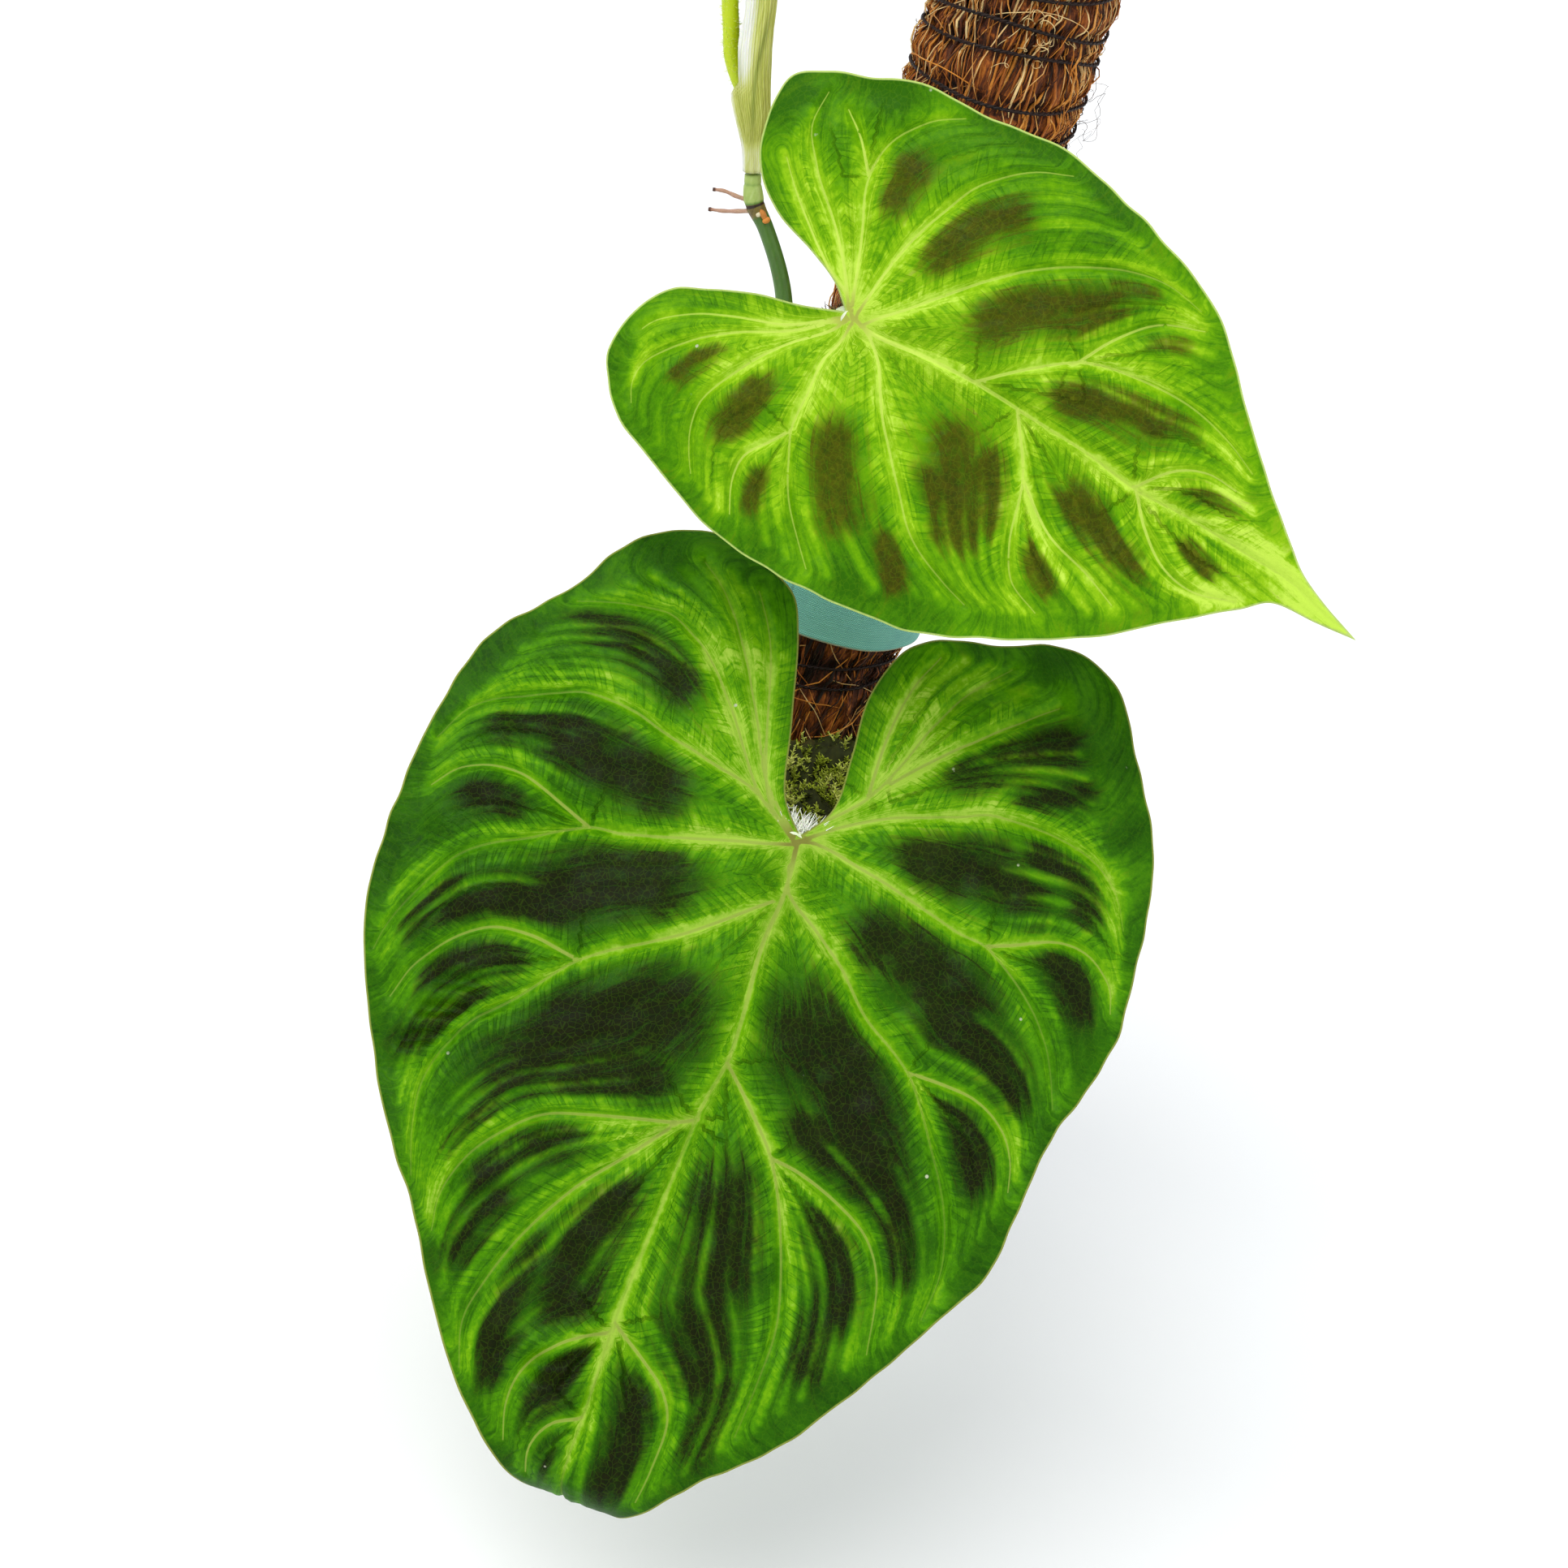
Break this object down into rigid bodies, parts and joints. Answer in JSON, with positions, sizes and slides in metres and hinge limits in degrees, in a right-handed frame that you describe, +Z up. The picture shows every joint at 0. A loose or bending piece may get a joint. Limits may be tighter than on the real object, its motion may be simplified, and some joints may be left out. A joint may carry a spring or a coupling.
{
  "type": "potted philodendron verrucosum",
  "caption": "Climbing aroid on a coir pole in a plain round pot, with heart-shaped, velvet-patterned leaves on bristly stalks and a rolled new leaf.",
  "frame": {"origin": "centre of the flat underside of the pot", "axes": "+Z up along the pot axis and the pole; -Y towards the side that the leaves face, where the lower leaf hangs over the rim; +X towards the tip of the upper leaf"},
  "size_m": [0.1972, 0.2818, 0.428],
  "materials": {
    "pot_white": "plain white moulded pot, satin",
    "potting_mix": "loose bark, peat and perlite mix",
    "moss": "yellow-green living moss",
    "stake_black": "black plastic, satin",
    "coir": "coarse coconut fibre, matt",
    "wire": "thin dark brown wire, dull",
    "band_teal": "finely ribbed teal webbing",
    "stem": "smooth green stem, brown root tips",
    "petiole": "bristly leaf stalk, pale green",
    "leaf_dark": "quilted blade, satin, dark between lime veins",
    "petiole_red": "bristly leaf stalk, reddish hairs",
    "leaf_lime": "quilted blade, satin, olive between lime veins",
    "sheath": "thin ribbed leaf sheath, translucent",
    "young_stalk": "young leaf stalk with short hairs",
    "young_leaf": "young leaf still rolled, satin"
  },
  "bodies": {
    "root": {"pot": "pot_white", "potting_mix": "potting_mix", "moss": "moss", "pole_stake": "stake_black", "coir_wrap": "coir", "binding_wire": "wire", "tie_band": "band_teal", "stem": "stem", "lower_petiole": "petiole", "lower_leaf": "leaf_dark", "upper_petiole": "petiole_red", "upper_leaf": "leaf_lime", "sheath": "sheath", "young_petiole": "young_stalk", "rolled_leaf": "young_leaf"}
  },
  "joints": []
}
